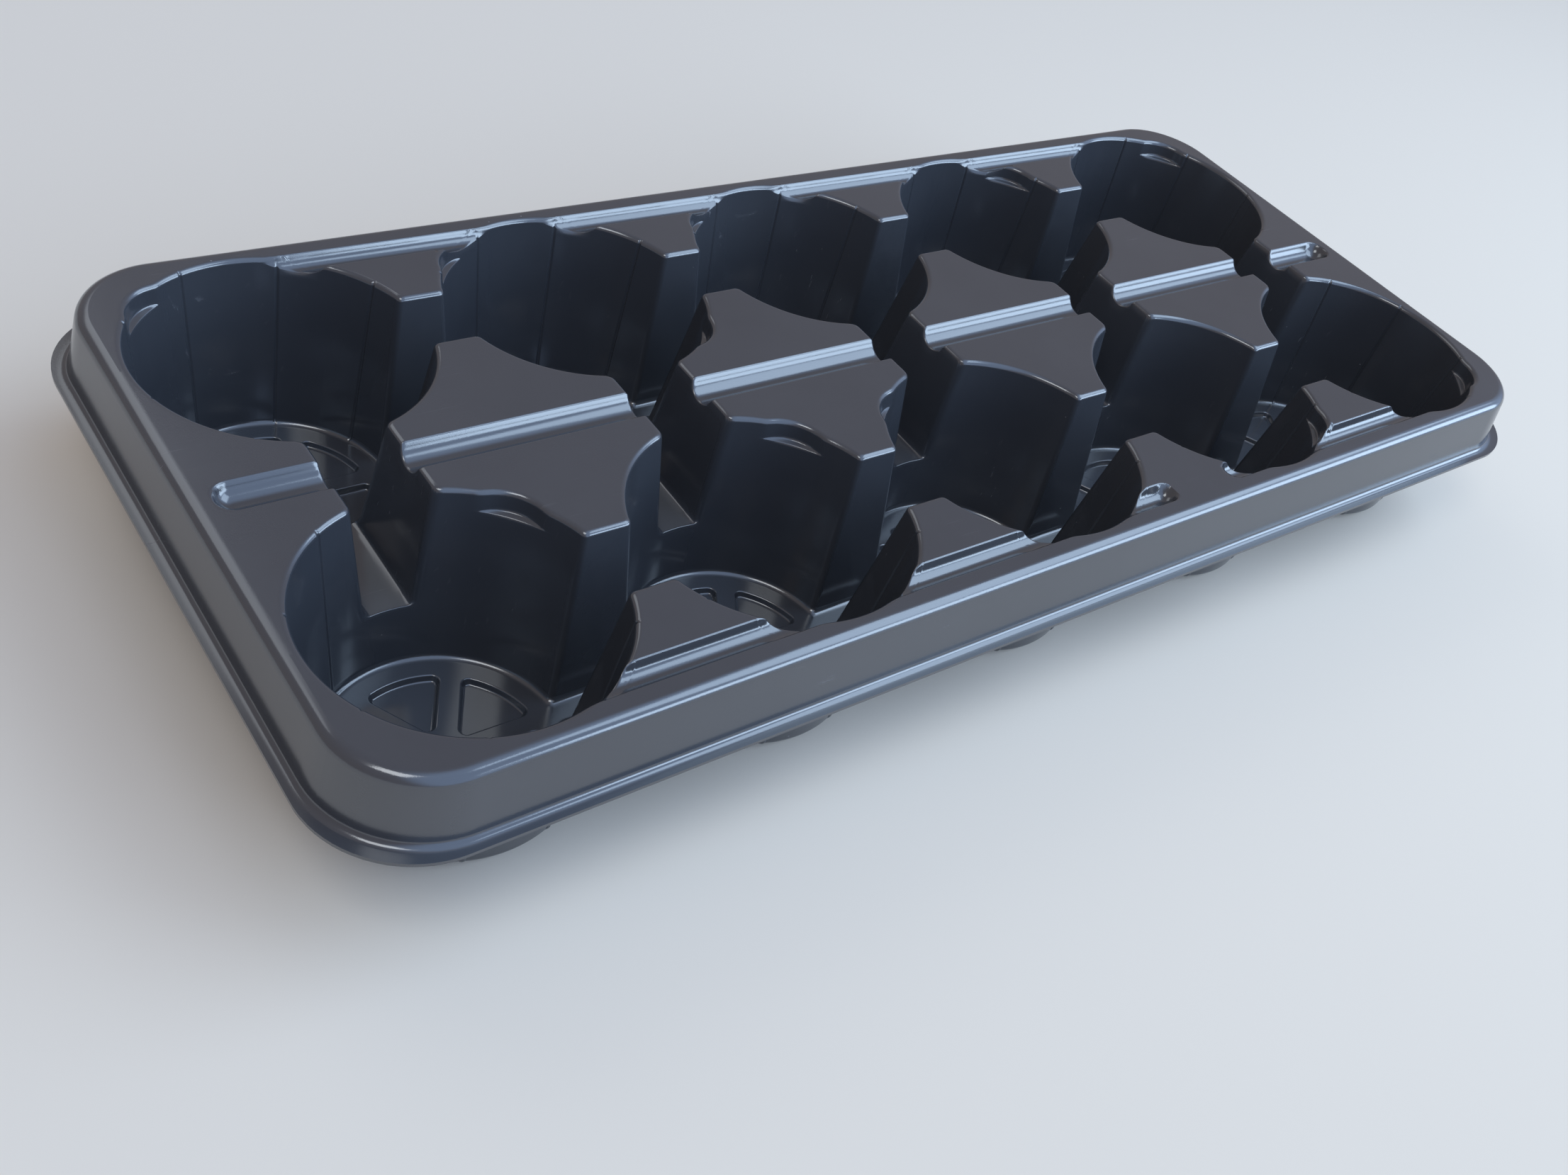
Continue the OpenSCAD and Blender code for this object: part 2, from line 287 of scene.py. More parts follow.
def grooved(depth_of_groove, inside, depth):
    """Height of a formed wall whose deck is lowered by a groove."""
    plain = formed_wall(inside, depth)
    in_groove = np.clip(-depth_of_groove / (2 * GROOVE_END_R), 0, 1)
    edge_r = MOUTH_EDGE_R + (GROOVE_END_R - MOUTH_EDGE_R) * in_groove
    moved = inside + depth_of_groove * math.tan(DRAFT)
    lowered = depth_of_groove + formed_wall(moved, depth, edge_r=edge_r)
    return np.where(plain > -GROOVE_REACH, lowered, plain)


def nearest_cell_x(x):
    return CELL_X[np.abs(np.asarray(x)[..., None] - CELL_X).argmin(-1)]


def face_spans(points, numbers):
    """Normals of faces, as long as twice their areas."""
    around = points[numbers]
    return np.cross(around, np.roll(around, -1, axis=1)).sum(1)


class FormedSheet:
    """The upper face of the sheet as it grows: points, faces and the region each face belongs to."""

    def __init__(self):
        self.points = np.zeros((0, 3))
        self.faces = {}

    def add_points(self, x, y, z):
        """Adds points and returns their numbers in an array of the same shape."""
        xyz = np.stack(np.broadcast_arrays(x, y, z), -1)
        numbers = len(self.points) + np.arange(xyz[..., 0].size).reshape(xyz.shape[:-1])
        self.points = np.concatenate([self.points, xyz.reshape(-1, 3)])
        return numbers

    def add_faces(self, numbers, regions):
        """Adds faces of one corner count, turned to face up; faces without area are left out."""
        numbers = np.asarray(numbers)
        regions = np.broadcast_to(regions, len(numbers))
        plan = self.points[numbers][..., :2]
        after = np.roll(plan, -1, axis=1)
        area = (plan[..., 0] * after[..., 1] - plan[..., 1] * after[..., 0]).sum(-1)
        numbers = np.where((area < 0)[:, None], numbers[:, ::-1], numbers)
        solid = np.abs(area) > LEAST_AREA
        self.faces.setdefault(numbers.shape[1], []).append((numbers[solid], regions[solid]))

    def add_grid(self, grid, regions):
        """Adds the quads between neighbouring points of a grid; regions go by row and column."""
        quads = np.stack([grid[:-1, :-1], grid[:-1, 1:], grid[1:, 1:], grid[1:, :-1]], -1)
        regions = np.broadcast_to(regions, quads.shape[:2])
        self.add_faces(quads.reshape(-1, 4), regions.reshape(-1))

    def joined_faces(self):
        return [(np.concatenate([n for n, _ in sets]), np.concatenate([r for _, r in sets]))
                for sets in self.faces.values()]

    def normals(self):
        """Normals at the points, weighted by the faces' areas."""
        total = np.zeros_like(self.points)
        for numbers, _ in self.joined_faces():
            spans = face_spans(self.points, numbers)
            for corner in range(numbers.shape[1]):
                np.add.at(total, numbers[:, corner], spans)
        return total / np.linalg.norm(total, axis=1)[:, None]

    def thickness(self, normals):
        """Thickness of the sheet at the points, less where an edge is too tight for its underside."""
        thick = np.full((len(self.points), 1), SHEET)
        groups = self.joined_faces()
        for _ in range(THIN_ROUNDS):
            below = self.points - normals * thick
            for numbers, _ in groups:
                kept = (face_spans(self.points, numbers) * face_spans(below, numbers)).sum(1) > 0
                turned = np.unique(numbers[~kept])
                thick[turned] = np.maximum(thick[turned] * THIN_SHARE, THIN_SHEET)
        return thick


def spaced_angles(start, end, step, close):
    """Angles along an arc of a mouth, in degrees: even steps, and closer ones where there is detail."""
    close = close[(close > start) & (close < end)]
    count = math.ceil(math.radians(end - start) * MOUTH_R / step)
    least = math.degrees(LEAST_STEP / MOUTH_R)
    kept = [start]
    clear = math.degrees(step / MOUTH_R) / 2
    even = [a for a in np.linspace(start, end, count + 1) if not (np.abs(close - a) < clear).any()]
    for angle in sorted([*even, *close]):
        if angle - kept[-1] > least and end - angle > least:
            kept.append(angle)
    return np.array([*kept, end])


def flute_columns(angles):
    """Angles of the columns that shape flutes."""
    offsets = np.linspace(-FLUTE_REACH, FLUTE_REACH, FLUTE_COLUMNS) * FLUTE_HALF
    return (angles[:, None] + np.degrees(offsets / MOUTH_R)).ravel()


def groove_end_columns():
    """Angles of the columns where the side grooves run out into a mouth."""
    half = SIDE_GROOVE_R + SIDE_GROOVE_EDGE_R
    off = SIDE_GROOVE_Y - ROW_Y
    low = math.asin((off - half) / (MOUTH_R + MOUTH_EDGE_R))
    wall_end = math.asin((off - SIDE_GROOVE_R * GROOVE_WALL_SHARE) / MOUTH_R)
    high = math.asin(min((off + half) / MOUTH_R, 1))
    wall = np.arange(low, wall_end, GROOVE_WALL_STEP / MOUTH_R)
    rest = np.arange(wall_end, high, GROOVE_END_STEP / MOUTH_R)
    beside = np.degrees(np.concatenate([wall, rest]))
    return np.concatenate([180 + beside, 360 - beside])


def throat_columns():
    """Angles of the columns on either side of the way across to the other row."""
    half = CROSS_THROAT / 2
    beside = np.arange(half - THROAT_BEFORE, half + THROAT_BEYOND, THROAT_STEP)
    return np.degrees(np.arccos(np.concatenate([-beside, beside]) / MOUTH_R))


def groove_cap_columns():
    """Angles of the columns where the groove along the middle is closed, on the right of a mouth."""
    off = GROOVE_END_X - CELL_X[-1]
    along = np.arange(off - CAP_MARGIN, off + GROOVE_R + CAP_MARGIN, CAP_STEP)
    return np.degrees(np.arccos(along / (MOUTH_R + MOUTH_EDGE_R)))


class RowOutline:
    """Columns round the mouth of one row of joined cells, seen with +V towards the middle of the tray.

    A column on an arc has an angle round its cell, part of which may swing with the arc's end. A column
    on the tip of a post has a share of the turn round its corner, or a place along its flat."""

    def __init__(self):
        self.cell_x, self.side, self.end = [], [], []
        self.angle, self.swing, self.turn, self.flat = [], [], [], []
        self.half_throat = ROW_THROAT / 2
        self.mid_outer, self.mid_inner = {}, {}
        first, last = 1, COLUMNS
        for col in range(first, last + 1):
            self.add_arc(col, False, col > first, col < last)
            if col < last:
                self.add_tip(col, False)
        self.last_outer = len(self.angle) - 1
        for col in range(last, first - 1, -1):
            self.add_arc(col, True, col < last, col > first)
            if col > first:
                self.add_tip(col - 1, True)
        for name in ("cell_x", "side", "end", "angle", "swing", "turn", "flat"):
            setattr(self, name, np.array(getattr(self, name)))
        self.inner = self.side > 0
        self.x = self.places(np.zeros((1, 1)), 0)[0][0]

    def add_column(self, cell_x, side, end=0, angle=math.nan, swing=0, turn=0, flat=0):
        self.cell_x.append(cell_x)
        self.side.append(side)
        self.end.append(end)
        self.angle.append(angle)
        self.swing.append(swing)
        self.turn.append(turn)
        self.flat.append(flat)

    def add_arc(self, col, inner, tip_before, tip_after):
        """Half of a mouth, from right to left on the inner side and from left to right on the outer."""
        side = 1 if inner else -1
        cell_x = CELL_X[col - 1]
        start = 0 if inner else 180
        if inner:
            end_wall = np.concatenate([180 - groove_cap_columns(), flute_columns(END_FLUTE_ANGLES)])
            close = throat_columns()
            if not tip_before:
                close = np.concatenate([close, 180 - end_wall])
            if not tip_after:
                close = np.concatenate([close, end_wall])
        else:
            close = np.concatenate([flute_columns(FLUTE_ANGLES), groove_end_columns()])
        step = ARC_STEP if inner else OUTER_ARC_STEP
        from_angle = start + ARC_END_ANGLE * tip_before
        to_angle = start + 180 - ARC_END_ANGLE * tip_after
        shares = np.linspace(1, 0, ARC_END_STEPS, endpoint=False)
        if tip_before:
            for share in shares:
                self.add_column(cell_x, side, angle=start + ARC_END_ANGLE * (1 - share), swing=share)
        angles = spaced_angles(from_angle, to_angle, step, close)
        if inner:
            angles = angles[0 if tip_before else 1:len(angles) if tip_after else -1]
        for angle in angles:
            self.add_column(cell_x, side, angle=angle)
        if tip_after:
            for share in shares[::-1]:
                self.add_column(cell_x, side, angle=start + 180 - ARC_END_ANGLE * (1 - share), swing=-share)

    def add_tip(self, post, inner):
        """Tip of the post between two cells of the row: corner, flat and corner."""
        side = 1 if inner else -1
        left, right = (CELL_X[post - 1], 1), (CELL_X[post], -1)
        start, end = (right, left) if inner else (left, right)
        turns = np.linspace(1, 0, TIP_CORNER_STEPS)
        flats = np.linspace(0, 1, TIP_STEPS)[1:]
        for turn in turns[1:]:
            self.add_column(start[0], side, start[1], turn=turn)
        for flat in flats:
            self.add_column(start[0], side, start[1], flat=flat)
        (self.mid_inner if inner else self.mid_outer)[post] = len(self.angle) - 1
        for flat in flats[-2::-1]:
            self.add_column(end[0], side, end[1], flat=flat)
        for turn in turns[:0:-1]:
            self.add_column(end[0], side, end[1], turn=turn)

    def places(self, inside, push):
        """Place (x, v) of each column at distances inside the mouth, with the arcs pushed outward."""
        round_r = MOUTH_R - inside + TIP_R
        round_v = self.half_throat - inside + TIP_R
        arc_end = np.arcsin(round_v / round_r)
        round_x = np.sqrt(round_r ** 2 - round_v ** 2)
        angle = np.radians(self.angle) + self.swing * arc_end
        r = MOUTH_R - inside + push
        turn = self.turn * (math.pi / 2 - arc_end)
        tip_x = self.end * (round_x - TIP_R * np.sin(turn) + (PITCH_X / 2 - round_x) * self.flat)
        tip_v = self.side * (round_v - TIP_R * np.cos(turn))
        on_tip = np.isnan(self.angle)
        x = self.cell_x + np.where(on_tip, tip_x, r * np.cos(angle))
        return x, np.where(on_tip, tip_v, r * np.sin(angle))

    def flutes(self):
        """Depth of the flutes at each column."""
        depth = np.zeros(len(self.angle))
        kinds = [
            (FLUTE_ANGLES, True),
            (END_FLUTE_ANGLES, self.cell_x == CELL_X[0]),
            (180 - END_FLUTE_ANGLES, self.cell_x == CELL_X[-1]),
        ]
        for flutes, on in kinds:
            off = np.abs((self.angle[:, None] - flutes + 180) % 360 - 180)
            arc = np.radians(off) * MOUTH_R / FLUTE_HALF
            hollow = np.where(arc < 1, np.cos(arc * math.pi / 2) ** 2, 0) * FLUTE_DEPTH
            depth += np.where(on, hollow.max(1), 0)
        return depth

    def pockets(self, side):
        """Reach of the ledge pockets beyond the mouth at each column of one row."""
        reach = np.zeros(len(self.x))
        centre = MOUTH_R + LEDGE_BULGE - LEDGE_R
        for col, row, across, along in LEDGES:
            if row != side:
                continue
            diagonal = math.degrees(math.atan2(-side * along, across))
            off = np.radians((self.angle - diagonal + 180) % 360 - 180)
            on = (np.abs(off) < LEDGE_HALF_ANGLE) & (self.swing == 0) & (self.cell_x == CELL_X[col - 1])
            off = np.where(on, off, 0)
            r = centre * np.cos(off) + np.sqrt(LEDGE_R ** 2 - (centre * np.sin(off)) ** 2)
            bulge = smooth_max(r - MOUTH_R, -LEDGE_BLEND, 2 * LEDGE_BLEND) + LEDGE_BLEND / 2
            reach += np.where(on, np.maximum(bulge, 0), 0)
        return reach

    def regions(self, side):
        """Name of the post, tongue, corner or saddle that each gap between columns belongs to."""
        closed_x = np.append(self.x, self.x[0])
        x = (closed_x[:-1] + closed_x[1:]) / 2
        inner = self.inner & np.append(self.inner[1:], True)
        inner[self.last_outer:] = True
        names = []
        for at, is_inner in zip(x, inner):
            names.append(inner_region(at) if is_inner else outer_region(at, side))
        return np.array(names)

    def nearest_columns(self):
        closed_x = np.append(self.x, self.x[0])
        x = (closed_x[:-1] + closed_x[1:]) / 2
        return np.abs(x[:, None] - CELL_X).argmin(1) + 1


def inner_region(x):
    """Region of the strip along the middle of the tray."""
    near = np.abs(x - CELL_X)
    if near.min() < SADDLE_HALF:
        return f"saddle_{near.argmin() + 1}"
    if x < CELL_X[0]:
        return "end_tongue_left"
    if x > CELL_X[-1]:
        return "end_tongue_right"
    return f"centre_post_{int((x - CELL_X[0]) // PITCH_X) + 1}"


def outer_region(x, side):
    """Region of the strip along the front or the back of the tray."""
    if x < CELL_X[0]:
        return f"corner_post_{SIDE_NAME[side]}_left"
    if x > CELL_X[-1]:
        return f"corner_post_{SIDE_NAME[side]}_right"
    return f"side_post_{SIDE_NAME[side]}_{int((x - CELL_X[0]) // PITCH_X) + 1}"


# Rings down a cell wall: where the pocket above a ledge ends, and where a saddle's edge needs them
LEDGE_RINGS = [(-1.4, 1.0), (-0.5, 0.96), (-0.1, 0.8), (0.1, 0.2), (0.35, 0.05), (1.2, 0.0)]
WALL_RING_DEPTHS = [13, 22, 32, 38, 41, 43, 46, 54]


def wall_rings():
    """Ring distances, with the share of pocket and of flute that each ring keeps."""
    ledge_depths = [LEDGE_DEPTH + below for below, _ in LEDGE_RINGS]
    between = np.array(ledge_depths + WALL_RING_DEPTHS) * math.tan(DRAFT)
    inside = wall_stations(CELL_DEPTH, DRAFT, MOUTH_EDGE_R, WALL_FOOT_R, between, SUPPORT, MOUTH_EDGE_STEPS)
    above = 1 + MOUTH_EDGE_STEPS
    pocket = np.zeros(len(inside))
    pocket[:above] = 1
    pocket[above:above + len(LEDGE_RINGS)] = [kept for _, kept in LEDGE_RINGS]
    flute = np.ones(len(inside))
    flute[:above] = np.sin(np.linspace(0, math.pi / 2, above))
    flute[-EDGE_STEPS - 1:] = np.append(np.linspace(1, 0, EDGE_STEPS), 0)
    return inside, pocket, flute


def wall_band(sheet, outline, side):
    """Lofts the walls of one row of cells from the deck to the floor and returns its point numbers."""
    inside, pocket, flute = (ring[:, None] for ring in wall_rings())
    x, v = outline.places(inside, pocket * outline.pockets(side) + flute * outline.flutes())
    y = side * (ROW_Y - v)
    wall = formed_wall(inside, CELL_DEPTH)
    outer_z = grooved(side_groove(x, y), np.broadcast_to(inside, x.shape), CELL_DEPTH)
    in_throat = CROSS_THROAT / 2 - np.abs(x - nearest_cell_x(outline.x))
    above_saddle = formed_wall(smooth_max(inside, in_throat, TIP_BLEND), SADDLE_DEPTH)
    near_throat = np.where(in_throat > -THROAT_MARGIN, SADDLE_EDGE, NO_EDGE)
    low = np.clip((-wall - SADDLE_DEPTH * SADDLE_EDGE_FROM) / (SADDLE_DEPTH * SADDLE_EDGE_RUN), 0, 1)
    inner_z = -smooth_max(-above_saddle, -wall, np.maximum(near_throat * low, NO_EDGE))
    z = np.where(outline.inner, inner_z, outer_z)
    grid = sheet.add_points(x, y, z + DECK_Z)
    closed = np.concatenate([grid, grid[:, :1]], axis=1)
    names = outline.regions(side)
    floors = np.array([f"cell_floor_{SIDE_NAME[side]}_{col}" for col in outline.nearest_columns()])
    on_floor = np.arange(len(grid) - 1)[:, None] >= len(grid) - 1 - EDGE_STEPS // 2
    sheet.add_grid(closed, np.where(on_floor, floors, names))
    return grid


def rows_across(r, edge_r):
    """Places across a groove on both sides of its axis, closer together towards its edges."""
    half = (r + edge_r) * np.sin(np.linspace(0, math.pi / 2, GROOVE_ROWS))
    half = np.append(half, half[-1] + edge_r)
    return np.concatenate([-half[:0:-1], half])


def centre_rows(front_y, back_y):
    """Places across the middle strip, close together over the groove."""
    groove = rows_across(GROOVE_R, GROOVE_EDGE_R)
    share = np.linspace(0, 1, DECK_ROWS, endpoint=False)
    before = front_y[None] + (groove[0] - front_y)[None] * share[:, None]
    after = back_y[None] + (groove[-1] - back_y)[None] * share[::-1, None]
    fixed = np.broadcast_to(groove[:, None], (len(groove), len(front_y)))
    return np.concatenate([before, fixed, after])


def centre_strip(sheet, outline, front_band, back_band):
    """Deck of the end tongues and centre posts, and the saddles between them."""
    columns = np.append(np.arange(outline.last_outer, len(outline.x)), 0)
    front, back = front_band[0, columns], back_band[0, columns]
    front_xy, back_xy = sheet.points[front], sheet.points[back]
    y = centre_rows(front_xy[:, 1], back_xy[:, 1])
    share = (y - y[0]) / (y[-1] - y[0])
    x = front_xy[:, 0] + (back_xy[:, 0] - front_xy[:, 0]) * share
    cell_x = nearest_cell_x(x)
    in_row = MOUTH_R - np.hypot(x - cell_x, ROW_Y - np.abs(y))
    in_throat = CROSS_THROAT / 2 - np.abs(x - cell_x)
    inside = smooth_max(in_row, in_throat, TIP_BLEND)
    z = grooved(centre_groove(x, y), inside, SADDLE_DEPTH)
    grid = np.concatenate([front[None], sheet.add_points(x[1:-1], y[1:-1], z[1:-1] + DECK_Z), back[None]])
    names = outline.regions(FRONT)[columns[:-1]]
    sheet.add_grid(grid, names)
    return grid


def rim_point(outline, column, x):
    """Point of the deck's edge that a column of the front strip runs to, drawn at the front."""
    if CELL_X[0] <= outline.x[column] <= CELL_X[-1]:
        return x, -DECK_HALF_Y
    across = 1 if outline.x[column] > 0 else -1
    angle = math.radians(outline.angle[column])
    way = np.array([abs(math.cos(angle)), abs(math.sin(angle))])
    start = np.array([CELL_X[-1], ROW_Y])
    half = np.array([DECK_HALF_X, DECK_HALF_Y])
    reach = ((half - start) / np.maximum(way, TINY)).min()
    at = start + reach * way
    round_at = half - DECK_CORNER_R
    if (at > round_at).all():
        off = start - round_at
        b = off @ way
        reach = -b + math.sqrt(b * b - off @ off + DECK_CORNER_R ** 2)
        at = start + reach * way
    return across * at[0], -at[1]


def outer_strip(sheet, outline, band, side):
    """Deck between one row's mouths and the rim; returns the numbers of the points along the rim."""
    columns = np.arange(outline.last_outer + 1)
    mouth = band[0, columns]
    mouth_xy = sheet.points[mouth]
    start_x, start_y = mouth_xy[:, 0], np.abs(mouth_xy[:, 1])
    ends = np.array([rim_point(outline, c, x) for c, x in zip(columns, start_x)])
    end_x, end_y = ends[:, 0], np.abs(ends[:, 1])
    groove = rows_across(SIDE_GROOVE_R, SIDE_GROOVE_EDGE_R)
    fixed = SIDE_GROOVE_Y + np.concatenate([groove[0] * ROWS_BEFORE_GROOVE, groove])
    share = np.arange(1, len(fixed) + 1)[:, None] / (len(fixed) + 1)
    even_y = start_y + (end_y - start_y) * share
    along_side = (outline.x[columns] >= CELL_X[0]) & (outline.x[columns] <= CELL_X[-1])
    tight_y = start_y + ROW_GAP * np.arange(1, len(fixed) + 1)[:, None]
    y = np.where(along_side, np.maximum(fixed[:, None], tight_y), even_y)
    x = np.where(along_side, start_x, start_x + (end_x - start_x) * share)
    z = side_groove(x, side * y)
    inner = sheet.add_points(x, side * y, z + DECK_Z)
    edge = sheet.add_points(end_x, side * end_y, DECK_Z)
    grid = np.concatenate([mouth[None], inner, edge[None]])
    sheet.add_grid(grid, outline.regions(side)[columns[:-1]])
    return edge


def pad_outline():
    """Rounded wedge of one foot pad on +X: points and the way outward at each."""
    half = math.pi / PADS
    reach = SPOKE_W / 2 + PAD_CORNER_R
    corner_at = PAD_RING_R - PAD_CORNER_R
    side = half - math.asin(reach / corner_at)
    corner = corner_at * np.array([math.cos(side), math.sin(side)])
    point = np.array([reach / math.sin(half), 0])
    turned = math.pi / 2 + half
    arcs = [
        (point, PAD_CORNER_R, turned, 2 * math.pi - turned, PAD_POINT_STEPS),
        (corner * [1, -1], PAD_CORNER_R, -turned, -side, PAD_CORNER_STEPS),
        (np.zeros(2), PAD_RING_R, -side, side, PAD_ARC_STEPS),
        (corner, PAD_CORNER_R, side, turned, PAD_CORNER_STEPS),
    ]
    points, ways = [], []
    for centre, r, start, end, count in arcs:
        turns = np.linspace(start, end, count)
        if r == PAD_RING_R:
            turns = turns[1:-1]
        way = np.stack([np.cos(turns), np.sin(turns)], -1)
        points.append(centre + r * way)
        ways.append(way)
    return np.concatenate(points), np.concatenate(ways)


def foot_pads(sheet, x, y, region):
    """Presses the foot pads of one cell and returns the numbers of the points round each."""
    points, ways = pad_outline()
    inside = wall_stations(PAD_DEPTH, PAD_DRAFT, PAD_EDGE_R, PAD_FOOT_R, [], PAD_SUPPORT)[:-1, None]
    z = formed_wall(inside, PAD_DEPTH, PAD_DRAFT, PAD_EDGE_R, PAD_FOOT_R) + FLOOR_Z
    u = points[:, 0] - ways[:, 0] * inside
    w = points[:, 1] - ways[:, 1] * inside
    rounds = []
    for pad in range(PADS):
        turn = (pad + 0.5) * 2 * math.pi / PADS
        c, s = math.cos(turn), math.sin(turn)
        grid = sheet.add_points(x + u * c - w * s, y + u * s + w * c, z)
        sheet.add_grid(np.concatenate([grid, grid[:, :1]], axis=1), region)
        sheet.add_faces(grid[-1:], region)
        rounds.append(grid[0])
    return rounds


def fill_flat(sheet, around, holes, region):
    """Fills a level outline with holes by triangles."""
    loops = [around, *holes]
    flat = [[Vector((*sheet.points[n][:2], 0)) for n in loop] for loop in loops]
    numbers = np.concatenate(loops)
    triangles = numbers[np.array(tessellate_polygon(flat))]
    sheet.add_faces(triangles, region)


def cell_floors(sheet, outline, band, side):
    """Floors of one row, each with its half of the channels to its neighbours."""
    inner_ring = band[-1]
    count = len(inner_ring)
    for col in range(1, COLUMNS + 1):
        start = outline.mid_outer.get(col - 1, 0)
        end = outline.mid_outer.get(col, outline.last_outer)
        back_from = outline.mid_inner.get(col, outline.last_outer + 1)
        back_to = outline.mid_inner.get(col - 1, count - 1)
        around = np.concatenate([inner_ring[start:end + 1], inner_ring[back_from:back_to + 1]])
        region = f"cell_floor_{SIDE_NAME[side]}_{col}"
        holes = foot_pads(sheet, CELL_X[col - 1], side * ROW_Y, region)
        fill_flat(sheet, around, holes, region)


def rim_region(x, y):
    long_way = "left" if x < 0 else "right"
    short_way = "front" if y < 0 else "back"
    at_end = abs(x) > DECK_HALF_X - DECK_CORNER_R
    at_side = abs(y) > DECK_HALF_Y - DECK_CORNER_R
    if at_end and at_side:
        return f"rim_corner_{short_way}_{long_way}"
    return f"rim_{long_way}" if at_end else f"rim_{short_way}"


def rim_section():
    """Points of the rim's upper face, outward from the deck's edge, up to where the flat lip starts."""
    over = np.linspace(0, math.pi / 2 - SKIRT_FLARE, EDGE_STEPS + 1)[1:]
    edge = np.stack([RIM_EDGE_R * np.sin(over), RIM_EDGE_R * np.cos(over) - RIM_EDGE_R], -1)
    lean = math.sin(SKIRT_FLARE)
    upright = math.cos(SKIRT_FLARE)
    hollow_z = LIP_HOLLOW_R - LIP_DROP
    run = (edge[-1, 1] - hollow_z + LIP_HOLLOW_R * lean) / upright
    hollow_x = edge[-1, 0] + run * lean + LIP_HOLLOW_R * upright
    turns = np.linspace(0, math.pi / 2 - SKIRT_FLARE, EDGE_STEPS) + SKIRT_FLARE
    round_hollow = np.stack([np.cos(turns), np.sin(turns)], -1)
    hollow = np.array([hollow_x, hollow_z]) - LIP_HOLLOW_R * round_hollow
    skirt = edge[-1] + (hollow[0] - edge[-1]) * SKIRT_SHARES
    return np.concatenate([edge, skirt, hollow])


def rim(sheet, loop):
    """Sweeps the rim's section round the deck's edge and out to the trimmed lip."""
    edge = sheet.points[loop][:, :2]
    round_at = np.array([DECK_HALF_X, DECK_HALF_Y]) - DECK_CORNER_R
    centre = np.clip(edge, -round_at, round_at)
    way = edge - centre
    straight_x = np.abs(edge[:, 1]) <= round_at[1]
    straight_y = np.abs(edge[:, 0]) <= round_at[0]
    way[straight_x] = np.stack([np.sign(edge[straight_x, 0]), 0 * edge[straight_x, 0]], -1)
    way[straight_y] = np.stack([0 * edge[straight_y, 1], np.sign(edge[straight_y, 1])], -1)
    way /= np.linalg.norm(way, axis=1)[:, None]
    section = rim_section()
    out = section[:, :1] + 0 * edge[:, 0]
    z = section[:, 1:] + 0 * out
    lip_out = lip_reach(edge, way)
    lip = out[-1] + (lip_out - out[-1]) * LIP_SHARES
    out = np.concatenate([out, lip])
    z = np.concatenate([z, np.full(lip.shape, -LIP_DROP)])
    grid = sheet.add_points(edge[:, 0] + way[:, 0] * out, edge[:, 1] + way[:, 1] * out, z + DECK_Z)
    grid = np.concatenate([loop[None], grid])
    closed = np.concatenate([grid, grid[:, :1]], axis=1)
    middle_xy = (edge + np.roll(edge, -1, axis=0)) / 2
    sheet.add_grid(closed, np.array([rim_region(*xy) for xy in middle_xy]))


def lip_reach(edge, way):
    """Distance from the deck's edge out to the trimmed lip, which has its own corner radius."""
    lip_half = np.array([LIP_HALF_X, LIP_HALF_Y])
    straight = ((lip_half - np.abs(edge)) / np.maximum(np.abs(way), TINY)).min(1)
    round_at = lip_half - LIP_CORNER_R
    off = np.abs(edge) - round_at
    b = (off * np.abs(way)).sum(1)
    turned = -b + np.sqrt(np.maximum(b ** 2 - (off ** 2).sum(1) + LIP_CORNER_R ** 2, 0))
    at = np.abs(edge) + np.abs(way) * straight[:, None]
    return np.where((at > round_at).all(1), turned, straight)


def form_sheet():
    """Forms the whole upper face of the tray."""
    sheet = FormedSheet()
    outline = RowOutline()
    bands = {side: wall_band(sheet, outline, side) for side in (FRONT, BACK)}
    strip = centre_strip(sheet, outline, bands[FRONT], bands[BACK])
    edges = {side: outer_strip(sheet, outline, bands[side], side) for side in (FRONT, BACK)}
    ends = {}
    for side_x, column, name in ((1, 0, "end_tongue_right"), (-1, -1, "end_tongue_left")):
        inner = strip[1:-1, column]
        y = sheet.points[inner][:, 1]
        outer = sheet.add_points(side_x * DECK_HALF_X, y, DECK_Z)
        at = -1 if side_x > 0 else 0
        outer = np.concatenate([edges[FRONT][at:][:1], outer, edges[BACK][at:][:1]])
        sheet.add_grid(np.stack([strip[:, column], outer], -1), name)
        ends[side_x] = outer
    loop = np.concatenate([edges[FRONT], ends[1][1:-1], edges[BACK][::-1], ends[-1][-2:0:-1]])
    rim(sheet, loop)
    for side in (FRONT, BACK):
        cell_floors(sheet, outline, bands[side], side)
    return sheet


def open_edges(faces):
    """Edges that only one face of a region has, in the direction that the face goes round."""
    starts = np.concatenate([f.ravel() for f in faces])
    ends = np.concatenate([np.roll(f, -1, axis=1).ravel() for f in faces])
    size = max(starts.max(), ends.max()) + 1
    codes = starts * size + ends
    alone = ~np.isin(codes, ends * size + starts)
    return starts[alone], ends[alone]


